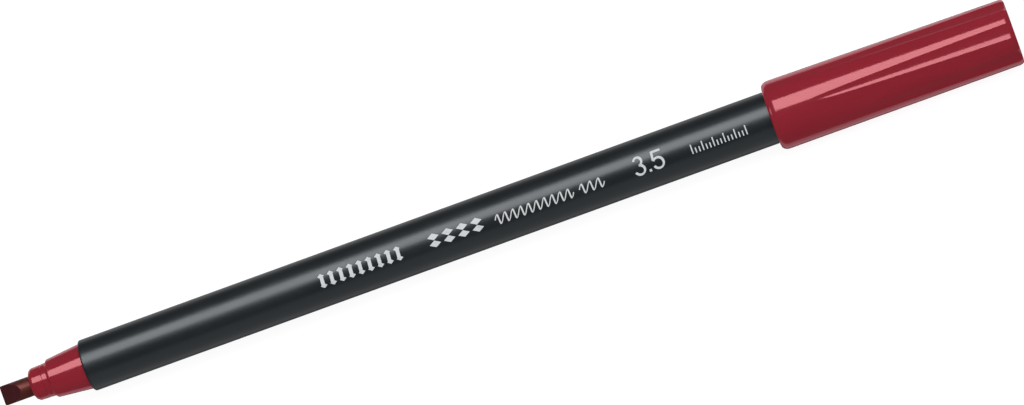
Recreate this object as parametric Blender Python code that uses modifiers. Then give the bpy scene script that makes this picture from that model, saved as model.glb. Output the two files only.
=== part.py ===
"""Calligraphy marker: a slim barrel, a chisel fibre nib and a fluted cap posted on the rear.

The pen lies along X with the nib towards -X and the closed end of the cap towards +X.
Stations are distances in millimetres from the tip of the nib, measured along the pen.
The middle of the pen is at X = 0, and the rim of the cap touches Z = 0.
"""

import math

import bpy
import bmesh
from mathutils import Matrix, Vector

MM = 0.001
SEGMENTS = 64
FLUTE_SEGMENTS = 128
CORNER_ANGLE = math.radians(30.0)

# Overall layout, as stations along the pen.
LENGTH = 179.0
BARREL_FRONT = 15.2
BARREL_REAR = 152.0
CAP_MOUTH = 136.7
CAP_WALL_END = 176.6

# Barrel: a plain tube with a shallow counterbore that takes the collar of the nib section.
BARREL_RADIUS = 4.45
BARREL_BORE = 3.55
BARREL_FRONT_ROUND = 0.43
BARREL_REAR_CHAMFER = 0.3
COUNTERBORE_RADIUS = 3.99
COUNTERBORE_DEPTH = 1.0

# Nib section: a nose, a grooved collar, a step and a cone, with a spigot inside the barrel.
SECTION_BORE = 1.8
NOSE_FRONT = 5.38
NOSE_FACE_RADIUS = 2.0
NOSE_CORNER = 5.62
NOSE_CORNER_RADIUS = 2.42
COLLAR_FRONT = 6.08
COLLAR_FRONT_RADIUS = 2.78
COLLAR_REAR = 8.7
COLLAR_REAR_RADIUS = 2.89
GROOVE_STATION = 7.8
GROOVE_WIDTH = 0.24
GROOVE_DEPTH = 0.1
STEP_REAR = 9.12
STEP_RADIUS = 3.32
STEP_LIP_DEPTH = 0.09
STEP_LIP_LENGTH = 0.17
CONE_RADIUS = 3.93
CONE_GAP = 0.15
SHOULDER_GAP = 0.2
SPIGOT_RADIUS = 3.48
SPIGOT_CHAMFER = 0.25
SPIGOT_CHAMFER_LENGTH = 0.4
SPIGOT_END = 25.0
AIR_CHANNEL_WIDTH = 0.6
AIR_CHANNEL_DEPTH = 0.35
AIR_CHANNEL_CUT_OVERLAP = 0.3
AIR_CHANNEL_CUT_OVERRUN = 1.0

# Nib: a round fibre rod with a long bevel on the reading side and a short one behind.
NIB_RADIUS = 1.7
NIB_TAIL = 36.0
NIB_TAIL_TAPER = 2.6
NIB_TAIL_RADIUS = 0.9
BEVEL_LENGTH = 3.5
EDGE_HEIGHT = -0.3
EDGE_THICKNESS = 0.2
BACK_BEVEL_ANGLE = 45.0
BEVEL_CUTTER_SIZE = 10.0

# Ink supply: a fibre core in a thin film sleeve, between the section and the rear plug.
RESERVOIR_FRONT = 27.0
RESERVOIR_REAR = 140.0
RESERVOIR_RADIUS = 3.15
RESERVOIR_SOCKET_DEPTH = 9.4
FILM_INNER = 3.22
FILM_OUTER = 3.38
FILM_OVERHANG = 0.3

# Rear plug: a cup pressed into the barrel, with a thin flange over its end.
PLUG_FRONT = 140.7
PLUG_BORE = 2.7
PLUG_FLOOR = 151.2
PLUG_FLANGE_RADIUS = 4.2
PLUG_FLANGE_FRONT = 152.1
PLUG_REAR = 153.0
PLUG_FLANGE_CHAMFER = 0.25

# Cap: round at the mouth, slightly tapered, with seven flutes that widen to the closed end.
CAP_MOUTH_RADIUS = 5.915
CAP_END_RADIUS = 5.67
CAP_LIP_ROUND = 0.55
CAP_END_ROUND = 0.8
CAP_BORE = 4.54
CAP_BORE_CHAMFER = 0.2
FLUTE_COUNT = 7
FLUTE_START = 144.5
FLUTE_END_DEPTH = 0.3
FLUTE_START_CURVE = 1.6
FLUTE_END_CURVE = 9.0
FLUTE_OVERRUN = 4.0
FLUTE_TURN = 3.7

# Liner: the sealing cup that the nib section enters when the pen is capped.
LINER_MOUTH = 157.2
LINER_REAR = 176.3
LINER_RADIUS = 4.46
LINER_BORE = 3.35
LINER_FLOOR = 175.3
LINER_LEAD_IN = 0.5

# The bevel, the reading side of the barrel and one flute all look this far above level.
FACING_ANGLE = math.radians(30.0)
FACING = Vector((0.0, -math.cos(FACING_ANGLE), math.sin(FACING_ANGLE)))
ACROSS = Vector((0.0, math.sin(FACING_ANGLE), math.cos(FACING_ANGLE)))
ALONG = Vector((1.0, 0.0, 0.0))
AXIS_HEIGHT = CAP_MOUTH_RADIUS

MATERIALS = {
    "black_plastic": ((0.016, 0.018, 0.020), 0.42),
    "red_plastic": ((0.27, 0.012, 0.022), 0.12),
    "nib_fibre": ((0.075, 0.010, 0.013), 0.75),
    "reservoir_fibre": ((0.62, 0.58, 0.54), 0.9),
    "clear_film": ((0.78, 0.80, 0.80), 0.2),
    "liner_plastic": ((0.70, 0.69, 0.66), 0.35),
}


def clear_scene():
    for item in list(bpy.data.objects):
        bpy.data.objects.remove(item, do_unlink=True)


def make_collection(name):
    collection = bpy.data.collections.new(name)
    bpy.context.scene.collection.children.link(collection)
    return collection


def make_material(name):
    color, roughness = MATERIALS[name]
    material = bpy.data.materials.new(name)
    material.use_nodes = True
    shader = material.node_tree.nodes["Principled BSDF"]
    shader.inputs["Base Color"].default_value = (*color, 1.0)
    shader.inputs["Roughness"].default_value = roughness
    shader.inputs["Metallic"].default_value = 0.0
    material.diffuse_color = (*color, 1.0)
    return material


def on_axis(station):
    """The world point on the pen's axis at a station."""
    return Vector(((station - LENGTH / 2) * MM, 0.0, AXIS_HEIGHT * MM))


def arc(center_radius, center_station, size, start, end, steps=6):
    """Points (radius, station) on a quarter round, angles in degrees from the outward side."""
    points = []
    for index in range(steps + 1):
        angle = math.radians(start + (end - start) * index / steps)
        radius = center_radius + size * math.cos(angle)
        station = center_station + size * math.sin(angle)
        points.append((radius, station))
    return points


def revolve(name, outline, closed, material_name, collection, origin_station):
    """Turn an outline of (radius, station) points about the pen's axis."""
    vertices = []
    for radius, station in outline:
        vertices.append((radius * MM, 0.0, (station - origin_station) * MM))
    edges = []
    for index in range(len(outline) - 1):
        edges.append((index, index + 1))
    if closed:
        edges.append((len(outline) - 1, 0))
    mesh = bpy.data.meshes.new(name)
    mesh.from_pydata(vertices, edges, [])
    mesh.update()
    item = bpy.data.objects.new(name, mesh)
    collection.objects.link(item)
    item.location = on_axis(origin_station)
    item.rotation_euler = (0.0, math.pi / 2, 0.0)
    screw = item.modifiers.new("turn", "SCREW")
    screw.axis = "Z"
    screw.steps = SEGMENTS
    screw.render_steps = SEGMENTS
    screw.use_merge_vertices = True
    screw.merge_threshold = 0.000001
    item.data.materials.append(make_material(material_name))
    return item


def link_cutter(item, cutters):
    cutters.objects.link(item)
    item.display_type = "WIRE"
    item.hide_render = True


def box_cutter(name, center, along, across, facing, size, cutters):
    """A box with its edges along three given directions, centred on a world point."""
    mesh = bpy.data.meshes.new(name)
    shape = bmesh.new()
    bmesh.ops.create_cube(shape, size=1.0)
    bmesh.ops.scale(shape, vec=Vector(size) * MM, verts=shape.verts)
    shape.to_mesh(mesh)
    shape.free()
    item = bpy.data.objects.new(name, mesh)
    link_cutter(item, cutters)
    turn = Matrix((along, across, facing)).transposed().to_4x4()
    item.matrix_world = Matrix.Translation(center) @ turn
    return item


def round_cutter(name, start, end, start_radius, end_radius, segments, cutters):
    """A cone between two world points, with a radius at each."""
    direction = end - start
    mesh = bpy.data.meshes.new(name)
    shape = bmesh.new()
    bmesh.ops.create_cone(
        shape,
        cap_ends=True,
        segments=segments,
        radius1=start_radius,
        radius2=end_radius,
        depth=direction.length,
    )
    shape.to_mesh(mesh)
    shape.free()
    item = bpy.data.objects.new(name, mesh)
    link_cutter(item, cutters)
    turn = direction.to_track_quat("Z", "Y").to_matrix().to_4x4()
    item.matrix_world = Matrix.Translation((start + end) / 2) @ turn
    return item


def cut(item, cutter):
    boolean = item.modifiers.new("cut_" + cutter.name, "BOOLEAN")
    boolean.operation = "DIFFERENCE"
    boolean.solver = "EXACT"
    boolean.object = cutter


def settle(item):
    """Keep the finished shape as a plain mesh, smooth but for its corners."""
    graph = bpy.context.evaluated_depsgraph_get()
    outline = item.data
    name = outline.name
    mesh = bpy.data.meshes.new_from_object(item.evaluated_get(graph))
    item.modifiers.clear()
    item.data = mesh
    bpy.data.meshes.remove(outline)
    mesh.name = name
    mesh.shade_smooth()
    mesh.set_sharp_from_angle(angle=CORNER_ANGLE)


def build_barrel(collection):
    center = BARREL_RADIUS - BARREL_FRONT_ROUND
    outline = [
        (BARREL_BORE, BARREL_REAR),
        (BARREL_RADIUS - BARREL_REAR_CHAMFER, BARREL_REAR),
        (BARREL_RADIUS, BARREL_REAR - BARREL_REAR_CHAMFER),
    ]
    outline += arc(center, BARREL_FRONT + BARREL_FRONT_ROUND, BARREL_FRONT_ROUND, 0, -90)
    outline += [
        (COUNTERBORE_RADIUS, BARREL_FRONT),
        (COUNTERBORE_RADIUS, BARREL_FRONT + COUNTERBORE_DEPTH),
        (BARREL_BORE, BARREL_FRONT + COUNTERBORE_DEPTH),
    ]
    return revolve("barrel", outline, True, "black_plastic", collection, BARREL_FRONT)


def build_nib_section(collection, cutters):
    spigot_front = BARREL_FRONT + COUNTERBORE_DEPTH - SHOULDER_GAP
    groove_front = GROOVE_STATION - GROOVE_WIDTH / 2
    groove_rear = GROOVE_STATION + GROOVE_WIDTH / 2
    slope = (COLLAR_REAR_RADIUS - COLLAR_FRONT_RADIUS) / (COLLAR_REAR - COLLAR_FRONT)
    front_groove_radius = COLLAR_FRONT_RADIUS + slope * (groove_front - COLLAR_FRONT)
    rear_groove_radius = COLLAR_FRONT_RADIUS + slope * (groove_rear - COLLAR_FRONT)
    outline = [
        (SECTION_BORE, SPIGOT_END),
        (SPIGOT_RADIUS - SPIGOT_CHAMFER, SPIGOT_END),
        (SPIGOT_RADIUS, SPIGOT_END - SPIGOT_CHAMFER_LENGTH),
        (SPIGOT_RADIUS, spigot_front),
        (CONE_RADIUS, spigot_front),
        (CONE_RADIUS, BARREL_FRONT - CONE_GAP),
        (STEP_RADIUS, STEP_REAR),
        (STEP_RADIUS - STEP_LIP_DEPTH, STEP_REAR - STEP_LIP_LENGTH),
        (COLLAR_REAR_RADIUS, COLLAR_REAR),
        (rear_groove_radius, groove_rear),
        (rear_groove_radius - GROOVE_DEPTH, GROOVE_STATION),
        (front_groove_radius, groove_front),
        (COLLAR_FRONT_RADIUS, COLLAR_FRONT),
        (NOSE_CORNER_RADIUS, NOSE_CORNER),
        (NOSE_FACE_RADIUS, NOSE_FRONT),
        (SECTION_BORE, NOSE_FRONT),
    ]
    section = revolve("nib_section", outline, True, "red_plastic", collection, NOSE_FRONT)
    middle = (NOSE_FRONT + SPIGOT_END) / 2
    depth = AIR_CHANNEL_DEPTH + 2 * AIR_CHANNEL_CUT_OVERLAP
    offset = SECTION_BORE + AIR_CHANNEL_DEPTH - depth / 2
    channel = box_cutter(
        "air_channel_cutter",
        on_axis(middle) - FACING * offset * MM,
        ALONG,
        ACROSS,
        FACING,
        (SPIGOT_END - NOSE_FRONT + 2 * AIR_CHANNEL_CUT_OVERRUN, AIR_CHANNEL_WIDTH, depth),
        cutters,
    )
    cut(section, channel)
    return section


def build_nib(collection, cutters):
    outline = [
        (0.0, NIB_TAIL),
        (NIB_TAIL_RADIUS, NIB_TAIL),
        (NIB_RADIUS, NIB_TAIL - NIB_TAIL_TAPER),
        (NIB_RADIUS, 0.0),
        (0.0, 0.0),
    ]
    nib = revolve("nib", outline, False, "nib_fibre", collection, 0.0)
    size = BEVEL_CUTTER_SIZE
    rise = math.atan2(NIB_RADIUS - EDGE_HEIGHT, BEVEL_LENGTH)
    slope = ALONG * math.cos(rise) + FACING * math.sin(rise)
    normal = FACING * math.cos(rise) - ALONG * math.sin(rise)
    edge = on_axis(0.0) + FACING * EDGE_HEIGHT * MM
    center = edge + normal * size / 2 * MM
    bevel = box_cutter(
        "bevel_cutter", center, slope, ACROSS, normal, (size, size, size), cutters
    )
    fall = math.radians(BACK_BEVEL_ANGLE)
    slope = ALONG * math.cos(fall) - FACING * math.sin(fall)
    normal = -FACING * math.cos(fall) - ALONG * math.sin(fall)
    edge = on_axis(0.0) + FACING * (EDGE_HEIGHT - EDGE_THICKNESS) * MM
    center = edge + normal * size / 2 * MM
    back = box_cutter(
        "back_bevel_cutter", center, slope, -ACROSS, normal, (size, size, size), cutters
    )
    cut(nib, bevel)
    cut(nib, back)
    return nib


def build_reservoir(collection):
    socket = SECTION_BORE
    outline = [
        (0.0, RESERVOIR_REAR),
        (RESERVOIR_RADIUS, RESERVOIR_REAR),
        (RESERVOIR_RADIUS, RESERVOIR_FRONT),
        (socket, RESERVOIR_FRONT),
        (socket, RESERVOIR_FRONT + RESERVOIR_SOCKET_DEPTH),
        (0.0, RESERVOIR_FRONT + RESERVOIR_SOCKET_DEPTH),
    ]
    name = "ink_reservoir"
    return revolve(name, outline, False, "reservoir_fibre", collection, RESERVOIR_FRONT)


def build_film(collection):
    outline = [
        (FILM_INNER, RESERVOIR_REAR + FILM_OVERHANG),
        (FILM_OUTER, RESERVOIR_REAR + FILM_OVERHANG),
        (FILM_OUTER, RESERVOIR_FRONT - FILM_OVERHANG),
        (FILM_INNER, RESERVOIR_FRONT - FILM_OVERHANG),
    ]
    return revolve("reservoir_film", outline, True, "clear_film", collection, RESERVOIR_FRONT)


def build_plug(collection):
    outline = [
        (0.0, PLUG_REAR),
        (PLUG_FLANGE_RADIUS - PLUG_FLANGE_CHAMFER, PLUG_REAR),
        (PLUG_FLANGE_RADIUS, PLUG_REAR - PLUG_FLANGE_CHAMFER),
        (PLUG_FLANGE_RADIUS, PLUG_FLANGE_FRONT),
        (SPIGOT_RADIUS, PLUG_FLANGE_FRONT),
        (SPIGOT_RADIUS, PLUG_FRONT + SPIGOT_CHAMFER_LENGTH),
        (SPIGOT_RADIUS - SPIGOT_CHAMFER, PLUG_FRONT),
        (PLUG_BORE, PLUG_FRONT),
        (PLUG_BORE, PLUG_FLOOR),
        (0.0, PLUG_FLOOR),
    ]
    return revolve("rear_plug", outline, False, "black_plastic", collection, PLUG_FRONT)


def cap_radius(station):
    """The outer radius of the cap's tapered wall at a station."""
    share = (station - CAP_MOUTH) / (LENGTH - CAP_MOUTH)
    return CAP_MOUTH_RADIUS + (CAP_END_RADIUS - CAP_MOUTH_RADIUS) * share


def build_cap_shell(collection, cutters):
    end_center = CAP_END_RADIUS - CAP_END_ROUND
    lip_center = CAP_MOUTH_RADIUS - CAP_LIP_ROUND
    outline = [(0.0, LENGTH)]
    outline += arc(end_center, LENGTH - CAP_END_ROUND, CAP_END_ROUND, 90, 0)
    outline += arc(lip_center, CAP_MOUTH + CAP_LIP_ROUND, CAP_LIP_ROUND, 0, -90)
    outline += [
        (CAP_BORE + CAP_BORE_CHAMFER, CAP_MOUTH),
        (CAP_BORE, CAP_MOUTH + CAP_BORE_CHAMFER),
        (CAP_BORE, CAP_WALL_END),
        (0.0, CAP_WALL_END),
    ]
    shell = revolve("cap_shell", outline, False, "red_plastic", collection, CAP_MOUTH)
    run = LENGTH - FLUTE_START
    widening = (FLUTE_END_CURVE - FLUTE_START_CURVE) / run
    start_distance = cap_radius(FLUTE_START) + FLUTE_START_CURVE
    end_distance = CAP_END_RADIUS - FLUTE_END_DEPTH + FLUTE_END_CURVE
    slope = (end_distance - start_distance) / run
    first = FLUTE_START - FLUTE_OVERRUN
    last = LENGTH + FLUTE_OVERRUN
    for index in range(FLUTE_COUNT):
        angle = math.radians(FLUTE_TURN + 360.0 * index / FLUTE_COUNT)
        outward = FACING * math.cos(angle) + ACROSS * math.sin(angle)
        first_distance = start_distance - slope * FLUTE_OVERRUN
        last_distance = end_distance + slope * FLUTE_OVERRUN
        flute = round_cutter(
            f"flute_cutter_{index + 1}",
            on_axis(first) + outward * first_distance * MM,
            on_axis(last) + outward * last_distance * MM,
            (FLUTE_START_CURVE - widening * FLUTE_OVERRUN) * MM,
            (FLUTE_END_CURVE + widening * FLUTE_OVERRUN) * MM,
            FLUTE_SEGMENTS,
            cutters,
        )
        cut(shell, flute)
    return shell


def build_cap_liner(collection):
    outline = [
        (0.0, LINER_REAR),
        (LINER_RADIUS, LINER_REAR),
        (LINER_RADIUS, LINER_MOUTH),
        (LINER_BORE + LINER_LEAD_IN, LINER_MOUTH),
        (LINER_BORE, LINER_MOUTH + LINER_LEAD_IN),
        (LINER_BORE, LINER_FLOOR),
        (0.0, LINER_FLOOR),
    ]
    return revolve("cap_liner", outline, False, "liner_plastic", collection, CAP_MOUTH)


def main():
    clear_scene()
    collection = make_collection("calligraphy_marker")
    cutters = make_collection("cutters")
    build_barrel(collection)
    build_nib_section(collection, cutters)
    build_nib(collection, cutters)
    build_reservoir(collection)
    build_film(collection)
    build_plug(collection)
    build_cap_shell(collection, cutters)
    build_cap_liner(collection)
    bpy.context.view_layer.update()
    for item in collection.objects:
        settle(item)


main()
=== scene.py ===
"""A calligraphy marker with a chisel fibre nib and its fluted cap posted on the rear.

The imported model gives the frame: every piece below takes its ends, its radius and its axis from
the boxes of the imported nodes, and rides on the body of the node that it stands for.
Lengths are metres. A station is a distance along the pen from the tip of the nib.
"""

import logging
import math
from dataclasses import dataclass, field
from enum import Enum
from typing import Any, Callable, Optional, Sequence

import bpy
import numpy as np
from mathutils import Matrix, Vector

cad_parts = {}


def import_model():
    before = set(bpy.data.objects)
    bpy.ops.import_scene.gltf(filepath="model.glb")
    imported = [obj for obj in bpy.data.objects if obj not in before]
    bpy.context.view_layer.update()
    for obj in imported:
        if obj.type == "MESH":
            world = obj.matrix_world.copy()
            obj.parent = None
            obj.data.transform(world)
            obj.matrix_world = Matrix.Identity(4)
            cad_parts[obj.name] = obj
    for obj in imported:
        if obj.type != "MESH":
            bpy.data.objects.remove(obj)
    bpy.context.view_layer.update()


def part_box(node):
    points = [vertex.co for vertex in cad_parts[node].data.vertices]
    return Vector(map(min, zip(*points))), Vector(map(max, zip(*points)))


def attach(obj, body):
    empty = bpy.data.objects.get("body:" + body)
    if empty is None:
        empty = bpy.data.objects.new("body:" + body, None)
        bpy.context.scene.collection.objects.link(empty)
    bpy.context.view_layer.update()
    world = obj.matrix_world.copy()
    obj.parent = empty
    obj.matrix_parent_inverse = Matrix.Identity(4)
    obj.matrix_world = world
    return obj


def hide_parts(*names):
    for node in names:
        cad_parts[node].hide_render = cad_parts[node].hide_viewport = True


Array = np.ndarray
MM = 0.001
LOG = logging.getLogger("calligraphy_marker")


class Body(Enum):
    """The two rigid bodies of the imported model."""

    PEN = "pen"
    CAP = "cap"


# --------------------------------------------------------------------------------------
# Mesh tools
# --------------------------------------------------------------------------------------


def mesh_from_arrays(name: str, points: Array, quads: Array, triangles: Array) -> bpy.types.Mesh:
    """Put whole arrays of points and faces into a mesh whose faces point outwards.

    The signed volume, a sixth of the sum of a . (b x c) over the triangles, is negative when the
    faces point inwards, and then every face is turned round.

    Args:
        name: The mesh's name.
        points: Vertex places, shape (n, 3).
        quads: Four vertex numbers a row.
        triangles: Three vertex numbers a row.

    Returns:
        The new mesh, shaded smooth.
    """
    corners = np.vstack((quads[:, [0, 1, 2]], quads[:, [0, 2, 3]], triangles))
    a, b, c = (points[corners[:, index]] for index in range(3))
    if np.einsum("ij,ij->i", a, np.cross(b, c)).sum() < 0.0:
        quads, triangles = quads[:, ::-1], triangles[:, ::-1]
    mesh = bpy.data.meshes.new(name)
    mesh.from_pydata(points.tolist(), [], quads.tolist() + triangles.tolist())
    mesh.validate()
    mesh.shade_smooth()
    return mesh


def add_piece(
    mesh: bpy.types.Mesh,
    finish: bpy.types.Material,
    body: Body,
    replaced: Sequence[str] = (),
) -> bpy.types.Object:
    """Show a mesh as one piece of the pen.

    Args:
        mesh: The finished mesh, in the frame's own coordinates.
        finish: Its material.
        body: The body that it rides on.
        replaced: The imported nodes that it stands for.

    Returns:
        The new object.
    """
    piece = bpy.data.objects.new(mesh.name, mesh)
    bpy.context.scene.collection.objects.link(piece)
    mesh.materials.append(finish)
    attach(piece, body.value)
    if replaced:
        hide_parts(*replaced)
    LOG.info("%s: %d faces on body %s", piece.name, len(mesh.polygons), body.value)
    return piece


@dataclass(frozen=True)
class PenAxis:
    """The line that the pen is turned about, and the side of it that is meant to be read."""

    tip: float
    height: float
    facing_angle: float = math.radians(30.0)

    @staticmethod
    def from_frame() -> "PenAxis":
        """Read the tip and the height of the axis from the nib's box."""
        low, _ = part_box("nib")
        cap_low, cap_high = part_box("cap_shell")
        return PenAxis(tip=low.x, height=(cap_low.z + cap_high.z) / 2)

    @property
    def facing(self) -> Array:
        """The direction that the bevel and the print look in."""
        return np.array((0.0, -math.cos(self.facing_angle), math.sin(self.facing_angle)))

    @property
    def across(self) -> Array:
        """The direction square to the pen and to facing, on its upper side."""
        return np.array((0.0, math.sin(self.facing_angle), math.cos(self.facing_angle)))

    def place(self, station: Array, radius: Array, angle: Array) -> Array:
        """Turn pen coordinates into frame coordinates.

        The point is the axis point at the station, plus radius times
        (cos(angle) facing + sin(angle) across).

        Args:
            station: Distances from the tip.
            radius: Distances from the axis.
            angle: Angles from facing towards across, in radians.

        Returns:
            Points with a last axis of 3.
        """
        station, radius, angle = np.broadcast_arrays(station, radius, angle)
        out = radius * np.cos(angle), radius * np.sin(angle)
        points = out[0][..., None] * self.facing + out[1][..., None] * self.across
        points[..., 0] += self.tip + station
        points[..., 2] += self.height
        return points

    def span(self, node: str) -> tuple[float, float]:
        """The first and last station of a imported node."""
        low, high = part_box(node)
        return low.x - self.tip, high.x - self.tip

    def radius_of(self, node: str) -> float:
        """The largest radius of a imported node, from its width."""
        low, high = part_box(node)
        return (high.y - low.y) / 2


@dataclass
class Outline:
    """Half of a turned section: points of (station, radius), joined in order."""

    points: list[tuple[float, float]] = field(default_factory=list)

    def to(self, station: float, radius: float) -> "Outline":
        """Go straight to a point."""
        self.points.append((station, radius))
        return self

    def run(self, station: float, radius: float, steps: int) -> "Outline":
        """Go straight to a point in equal steps, which carry a shape that varies on the way."""
        first = self.points[-1]
        for step in range(1, steps + 1):
            share = step / steps
            self.to(
                first[0] + (station - first[0]) * share,
                first[1] + (radius - first[1]) * share,
            )
        return self

    def bend(
        self,
        center: tuple[float, float],
        sizes: tuple[float, float],
        start: float,
        end: float,
        steps: int = 8,
        hold: float = 0.03 * MM,
    ) -> "Outline":
        """Follow a round corner, which may be a quarter of an ellipse.

        The points are the center plus (sizes[0] sin(a), sizes[1] cos(a)). A short straight along
        the tangent at each end keeps the shading of the long runs on both sides level.

        Args:
            center: The (station, radius) of the round's middle.
            sizes: The round's half size along the pen and away from it.
            start: First angle in degrees, where 0 is away from the axis and 90 is rearwards.
            end: Last angle in degrees.
            steps: How many chords the round takes.
            hold: The length of the straights at its ends.

        Returns:
            The same outline.
        """
        angle = np.radians(np.linspace(start, end, steps + 1))
        points = np.stack(
            (center[0] + sizes[0] * np.sin(angle), center[1] + sizes[1] * np.cos(angle)), axis=-1
        )
        sense = hold * math.copysign(1.0, end - start)
        tangent = np.stack((np.cos(angle), -np.sin(angle)), axis=-1) * sense
        for point in (points[0] - tangent[0], *points, points[-1] + tangent[-1]):
            self.to(*point)
        return self

    def softened(self, size: float, steps: int = 3, hold: float = 0.03 * MM) -> "Outline":
        """Round every corner between straight runs by a quadratic curve.

        Each corner point P is replaced by the curve (1-t)^2 A + 2t(1-t) P + t^2 B, where A and B
        lie on the two runs at the given size from P, or a third of the run when that is shorter. A
        short straight before A and after B keeps the shading of the runs level.

        Args:
            size: How far back along each run the rounding starts.
            steps: How many chords a corner takes.
            hold: The length of the straights.

        Returns:
            A new outline.
        """
        source = np.array(self.points)
        soft = Outline([tuple(source[0])])
        for before, corner, after in zip(source[:-2], source[1:-1], source[2:]):
            back, ahead = before - corner, after - corner
            back_length, ahead_length = np.linalg.norm(back), np.linalg.norm(ahead)
            start = corner + back * min(size / back_length, 1 / 3)
            end = corner + ahead * min(size / ahead_length, 1 / 3)
            soft.to(*(start + back / back_length * hold))
            for t in np.linspace(0.0, 1.0, steps + 1):
                point = (1 - t) ** 2 * start + 2 * t * (1 - t) * corner + t**2 * end
                soft.to(*point)
            soft.to(*(end + ahead / ahead_length * hold))
        soft.to(*source[-1])
        return soft

    def array(self) -> Array:
        """The points as an array of shape (n, 2)."""
        return np.array(self.points)


RadiusRule = Callable[[Array, Array, Array], Array]


@dataclass(frozen=True)
class Turning:
    """Turns an outline about the pen's axis into a closed skin."""

    axis: PenAxis
    segments: int = 192

    def skin(
        self, name: str, outline: Outline, ring: bool, rule: Optional[RadiusRule] = None
    ) -> bpy.types.Mesh:
        """Carry an outline round the axis.

        Row i and column j hold the point at the outline's station i and the angle
        2 pi j / segments. Neighbouring rows and columns are joined by quads, and the columns
        close on themselves. A ring's last row joins its first. Any other outline starts and
        ends on the axis, where its end rows shrink to one vertex with a fan of triangles.

        Args:
            name: The mesh's name.
            outline: The half section.
            ring: True for a tube, whose outline is a loop clear of the axis.
            rule: Gives the radius from (station, radius, angle), for a shape that isn't round.

        Returns:
            The mesh.
        """
        half = outline.array()
        poles = None if ring else (half[0], half[-1])
        body = half if ring else half[1:-1]
        angle = np.arange(self.segments) * (2 * math.pi / self.segments)
        station, radius = body[:, :1], body[:, 1:]
        station, radius, turn = np.broadcast_arrays(station, radius, angle[None, :])
        if rule is not None:
            radius = rule(station, radius, turn)
        points = self.axis.place(station, radius, turn).reshape(-1, 3)
        rows = len(body)
        numbers = np.arange(rows * self.segments).reshape(rows, self.segments)
        lower, upper = numbers, np.roll(numbers, -1, axis=0)
        if not ring:
            lower, upper = lower[:-1], upper[:-1]
        quads = np.stack(
            (lower, np.roll(lower, -1, axis=1), np.roll(upper, -1, axis=1), upper), axis=-1
        ).reshape(-1, 4)
        triangles = np.empty((0, 3), int)
        if poles is not None:
            ends = [self.axis.place(pole[0], 0.0, 0.0).reshape(1, 3) for pole in poles]
            points = np.vstack((points, *ends))
            first, last = numbers[0], numbers[-1]
            near = np.full_like(first, len(points) - 2)
            far = np.full_like(first, len(points) - 1)
            triangles = np.vstack(
                (
                    np.stack((near, np.roll(first, -1), first), axis=-1),
                    np.stack((far, last, np.roll(last, -1)), axis=-1),
                )
            )
        mesh = mesh_from_arrays(name, points, quads, triangles)
        mesh.set_sharp_from_angle(angle=math.radians(50.0))
        return mesh


# --------------------------------------------------------------------------------------
# Finishes
# --------------------------------------------------------------------------------------


def set_range(
    node: bpy.types.Node, low: float, high: float, start: float, end: float
) -> None:
    """Set the four limits of a Map Range node.

    Args:
        node: The node.
        low: The input that gives start.
        high: The input that gives end.
        start: The output at low.
        end: The output at high.
    """
    limits = {"From Min": low, "From Max": high, "To Min": start, "To Max": end}
    for name, number in limits.items():
        node.inputs[name].default_value = number



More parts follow.
